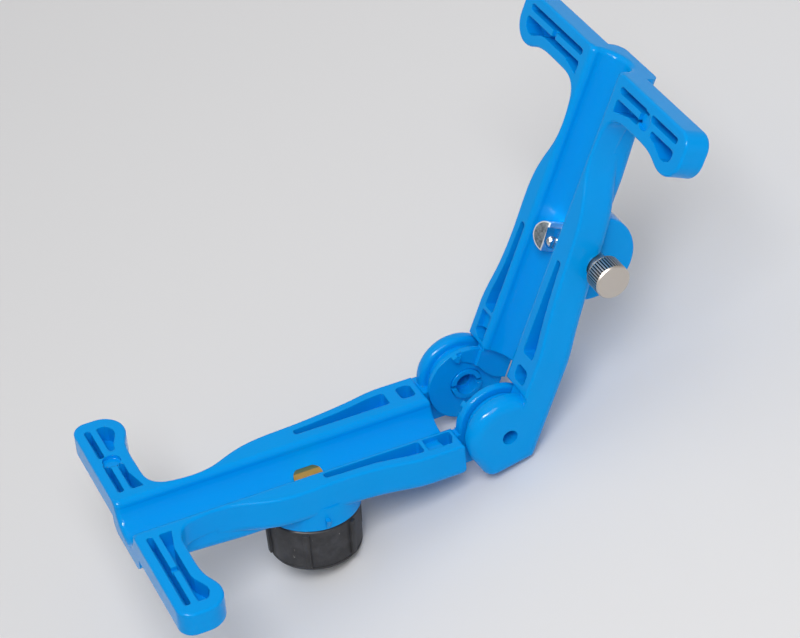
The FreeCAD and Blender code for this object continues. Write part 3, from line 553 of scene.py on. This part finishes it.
# %% Head of the thumb screw
RIDGES = 40
SIDES_PER_RIDGE = 4
HEAD_LOW = 18.2
HEAD_HIGH = 24.6
HEAD_TALL = HEAD_HIGH - HEAD_LOW
HEAD_END = HEAD_TALL / 2        # the cylinder is centred on the origin
HEAD_RADIUS = 5.2
CHAMFER = 0.4
CHAMFER_SLOPE = 0.9             # how far it goes in, for one step along
KNURL_DEEP = -0.42              # negative draws the grooves in

screw = start(bpy.ops.mesh.primitive_cylinder_add, "knurled_thumb_screw", vertices=RIDGES * SIDES_PER_RIDGE,
              radius=HEAD_RADIUS * MM, depth=HEAD_TALL * MM, location=(0, 0, 0))
select(screw, "FACE", lambda m, f: abs(m.z) > HEAD_END - CLOSE)
bpy.ops.mesh.inset(thickness=CHAMFER * MM)
for height in (CHAMFER, HEAD_TALL - CHAMFER):
    cut((0, 0, height - HEAD_END))
select(screw, "EDGE", lambda m, e: abs(m.z) > HEAD_END - CLOSE and from_z(m) > HEAD_RADIUS - NEAR_RIM)
scale_about_axis((HEAD_RADIUS - CHAMFER * CHAMFER_SLOPE) / HEAD_RADIUS)


def in_knurl(middle, face):
    """Whether a side face lies in the knurled band and in one of its grooves."""
    groove = side_number(middle, RIDGES * SIDES_PER_RIDGE) % SIDES_PER_RIDGE in (1, 2)
    return abs(middle.z) < HEAD_END - CHAMFER and is_wall(face) and groove


print("groove faces", select(screw, "FACE", in_knurl))
swell(KNURL_DEEP)

# %% [markdown]
# Collar and thread grow out of the head's underside: the face is inset and pushed out, twice. A thread is a helix,
# but at this size a row of rings looks the same and is far simpler. Four level cuts mark a ring: its two crests and
# its floor between them. The edges of the floor are then drawn in towards the axis.

# %% Collar and thread of the thumb screw
COLLAR_RADIUS = 3.3
COLLAR_LOW = 12.1
THREAD_RADIUS = 2.0
THREAD_LOW = 4.6
THREAD_PITCH = 0.7
FIRST_RING = 0.5                        # from the thread's tip
LAST_RING = 0.6                         # from the collar
RING_CUTS = (0.0, 0.2, 0.35, 0.55)      # crest, floor, floor, crest
FLOOR_MIDDLE = 0.275
FLOOR_HALF = 0.1                        # both edges of the floor are nearer than this to its middle
FLOOR_SHARE = 0.86                      # of the thread's radius

select(screw, "FACE", lambda m, f: m.z < CLOSE - HEAD_END and looks_down(f) and from_z(m) < COLLAR_RADIUS)
bpy.ops.mesh.inset(thickness=(HEAD_RADIUS - CHAMFER - COLLAR_RADIUS) * MM)
push(-(HEAD_LOW - COLLAR_LOW))
bpy.ops.mesh.inset(thickness=(COLLAR_RADIUS - THREAD_RADIUS) * MM)
push(-(COLLAR_LOW - THREAD_LOW))
offset = (HEAD_LOW + HEAD_HIGH) / 2
crest = THREAD_LOW + FIRST_RING
while crest < COLLAR_LOW - LAST_RING:
    for level in RING_CUTS:
        cut((0, 0, crest + level - offset))
    floor_z = crest + FLOOR_MIDDLE - offset
    select(screw, "EDGE", lambda m, e: abs(m.z - floor_z) < FLOOR_HALF and is_level(e))
    scale_about_axis(FLOOR_SHARE)
    crest += THREAD_PITCH
finish(screw, UPPER, (POST_X, offset, SCREW_Z), ALONG_Y, nickel, "thumb_screw", "thumb",
       edge_mm=0.0)

# %% [markdown]
# The post is a ground rod, cut down to a half-moon at its head. The flat of the cut carries the blade, and the head
# itself is ground at a slope. It starts as a cylinder. Two cuts with bisect mark the step and the flat, the faces of
# the half above the step are deleted, and the two openings are closed with new faces. A third cut takes off the
# slope and fills it. A chamfer at the foot eases the post into its bore, and rounded edges catch a thin line of light.

# %% Blade post
POST_RADIUS = 4.45
POST_FOOT = -16.5
POST_HEAD = -2.0
SLOPE_RISE = 1.6
STEP_DEPTH = 6.4
FOOT_CHAMFER = 0.6
POST_TALL = POST_HEAD + SLOPE_RISE - POST_FOOT

post = start(bpy.ops.mesh.primitive_cylinder_add, "ground_post", vertices=SIDES, radius=POST_RADIUS * MM,
             depth=POST_TALL * MM, location=(0, 0, 0))
half = POST_TALL / 2
step_z = POST_HEAD - STEP_DEPTH - POST_FOOT - half
slope_z = POST_HEAD - POST_FOOT - half
cut((0, 0, step_z))
cut((0, 0, 0), (0, 1, 0))
select(post, "FACE", lambda m, f: m.z > step_z + CLOSE and m.y > 0)
bpy.ops.mesh.delete(type="FACE")
select(post, "EDGE", lambda m, e: e.is_boundary and m.z > step_z + CLOSE)
bpy.ops.mesh.edge_face_add()
select(post, "EDGE", lambda m, e: e.is_boundary)
bpy.ops.mesh.edge_face_add()
cut((0, 0, slope_z), (0, SLOPE_RISE, POST_RADIUS), use_fill=True, clear_outer=True)
select(post, "EDGE", lambda m, e: m.z < CLOSE - half and len(e.link_faces) == 2)
bpy.ops.mesh.bevel(offset=FOOT_CHAMFER * MM, segments=1, affect="EDGES")
finish(post, UPPER, (POST_X, 0, POST_FOOT + half), ALONG_Z, ground_steel, "blade_post", "post",
       edge_mm=0.3)

# %% [markdown]
# The blade is a flat plate with a slanted cutting corner. It starts as a cube. Two cuts take off its corner, the
# second much flatter than the first. The edges that they leave on the front are then drawn back through most of the
# thickness, which makes the corner keen, and one level cut below keeps the rest of the plate flat.

# %% Blade
BLADE_WIDE = 6.4
BLADE_TALL = 6.2
BLADE_THICK = 0.6
BLADE_PROUD = 0.7
BLADE_LOW = POST_HEAD + BLADE_PROUD - BLADE_TALL
CORNER = (BLADE_WIDE / 2 - 1.6, 0, BLADE_TALL / 2 - 0.5)
CORNER_CUTS = ((1.7, 0, 1.6), (0.5, 0, 4.8))    # the directions that the two cut faces look in
KEEN_DEPTH = 2.4                                # from the top of the plate
KEEN_SHARE = 0.8                                # of the thickness

blade = start(bpy.ops.mesh.primitive_cube_add, "slitting_blade", size=1.0 * MM, location=(0, 0, 0))
bpy.ops.transform.resize(value=(BLADE_WIDE, BLADE_THICK, BLADE_TALL), center_override=(0, 0, 0))
for direction in CORNER_CUTS:
    cut(CORNER, direction, use_fill=True, clear_outer=True)
cut((0, 0, BLADE_TALL / 2 - KEEN_DEPTH))


def cutting_edge(middle, edge):
    """Whether an edge is at the front of a face that looks up, above the level cut."""
    up = any(looks_up(face) for face in edge.link_faces) and len(edge.link_faces) == 2
    return up and middle.z > BLADE_TALL / 2 - KEEN_DEPTH + CLOSE and middle.y > BLADE_THICK / 2 - CLOSE


print("keen edges", select(blade, "EDGE", cutting_edge))
bpy.ops.transform.translate(value=(0, -BLADE_THICK * KEEN_SHARE * MM, 0))
finish(blade, UPPER, (POST_X, BLADE_THICK / 2, BLADE_LOW + BLADE_TALL / 2), ALONG_Z, honed_steel, "blade", "post",
       edge_mm=0.0)

# %% [markdown]
# A small screw with a round, slotted head holds the blade. The head is a short cylinder: its top is inset, and the
# outer edge is lowered to a slope. Two cuts mark the slot, and the faces between them are pushed in. The shank is the
# underside, inset and pushed out into the post.

# %% Blade screw
CLAMP_RADIUS = 1.6
CLAMP_TALL = 1.0
CLAMP_SLOPE = 0.35      # as wide as it is low
SLOT_HALF = 0.22
SLOT_DEEP = 0.4
SHANK_RADIUS = 1.0
SHANK_LONG = 3.0
CLAMP_ASIDE = 1.2       # from the post's axis
CLAMP_BELOW = 2.2       # below the post's head
CLAMP_SIDES = 32        # enough for so small a head

clamp = start(bpy.ops.mesh.primitive_cylinder_add, "blade_clamp_screw", vertices=CLAMP_SIDES,
              radius=CLAMP_RADIUS * MM, depth=CLAMP_TALL * MM, location=(0, 0, 0))
select(clamp, "FACE", lambda m, f: looks_up(f))
bpy.ops.mesh.inset(thickness=CLAMP_SLOPE * MM)
select(clamp, "EDGE", lambda m, e: m.z > CLAMP_TALL / 2 - CLOSE and from_z(m) > CLAMP_RADIUS - NEAR_RIM)
bpy.ops.transform.translate(value=(0, 0, -CLAMP_SLOPE * MM))
for side in (-SLOT_HALF, SLOT_HALF):
    cut((0, side, 0), (0, 1, 0))
select(clamp, "FACE", lambda m, f: looks_up(f) and abs(m.y) < SLOT_HALF - CLOSE)
push(-SLOT_DEEP)
select(clamp, "FACE", lambda m, f: looks_down(f))
bpy.ops.mesh.inset(thickness=(CLAMP_RADIUS - SHANK_RADIUS) * MM)
push(-SHANK_LONG)
finish(clamp, UPPER, (POST_X + CLAMP_ASIDE, BLADE_THICK + CLAMP_TALL / 2, POST_HEAD - CLAMP_BELOW), ALONG_Y,
       honed_steel, "blade_screw", "post", edge_mm=0.06)

# %% [markdown]
# The other pieces keep the shape that the frame gives them. Each only gets its finish.

# %% Finishes of the frame's pieces
FINISHES = {
    "lower_arm": blue_abs, "upper_arm": blue_abs, "knob_cap": black_nylon, "thrust_washer": white_acetal,
    "stud_bush": turned_brass, "pressure_pad": turned_brass, "screw_insert": turned_brass,
    "stud_nut": zinc_steel, "knob_stud": zinc_steel, "stud_clip": zinc_steel,
}
for name, material in FINISHES.items():
    NODES[name].data.materials.clear()
    NODES[name].data.materials.append(material)
print("finished", len(FINISHES), "pieces of the frame")

# %% [markdown]
# The tool stands on a pale table in a light studio. The table is one large plane, dull, so that it takes soft shadows
# and mirrors nothing. The world is an even pale grey, and it is also what gloss and metal mirror.

# %% Table and room
TABLE_SIDE = 8.0        # m
ROOM_LEVEL = 0.5

bpy.ops.object.select_all(action="DESELECT")
bpy.ops.mesh.primitive_plane_add(size=TABLE_SIDE, location=(0, 0, 0))
floor = bpy.context.object
floor.name = "table"
pale, tree, shader = new_material("pale_table", "#DEDEE0", 0.85)
shader.inputs["Specular IOR Level"].default_value = 0.2
floor.data.materials.append(pale)

world = bpy.data.worlds.new("studio")
bpy.context.scene.world = world
world.use_nodes = True
sky = world.node_tree.nodes["Background"]
sky.inputs["Color"].default_value = linear("#F7F6F4")
sky.inputs["Strength"].default_value = ROOM_LEVEL
bpy.context.scene.view_settings.view_transform = "Standard"
print("table", TABLE_SIDE, "m, room at", ROOM_LEVEL)

# %% [markdown]
# One large soft lamp, high in front, lights the faces that the camera sees. A weaker one fills from behind. A narrow
# strip lights nothing by itself and only shows as a reflection: it draws the short white glints on the rounded rims.
# Each lamp is a softbox, a rectangle that gives light over its whole face, turned to look at the tool.

# %% Lamps
LAMP_AIM = Vector((0, 0, 0.03))


def softbox(name, place, wide, tall, watts, lights_up):
    """A rectangular area lamp that faces the tool. One that doesn't light up is only seen as a reflection."""
    lamp = bpy.data.objects.new(name, bpy.data.lights.new(name, "AREA"))
    bpy.context.scene.collection.objects.link(lamp)
    lamp.location = place
    lamp.rotation_euler = (LAMP_AIM - Vector(place)).to_track_quat("-Z", "Y").to_euler()
    lamp.data.shape = "RECTANGLE"
    lamp.data.size = wide
    lamp.data.size_y = tall
    lamp.data.energy = watts
    lamp.visible_diffuse = lights_up
    return lamp


LAMPS = {   # place, width and height in metres, then watts, and whether it lights up what it faces
    "key": ((0.0, -0.72, 1.15), 0.6, 0.6, 10.4, True),
    "fill": ((0.1, 0.5, 1.2), 0.8, 0.8, 1.5, True),
    "glint": ((-0.34, -0.42, 1.02), 0.34, 0.11, 24.0, False),
}
for name, settings in LAMPS.items():
    softbox(name, *settings)
print("lamps:", ", ".join(LAMPS))
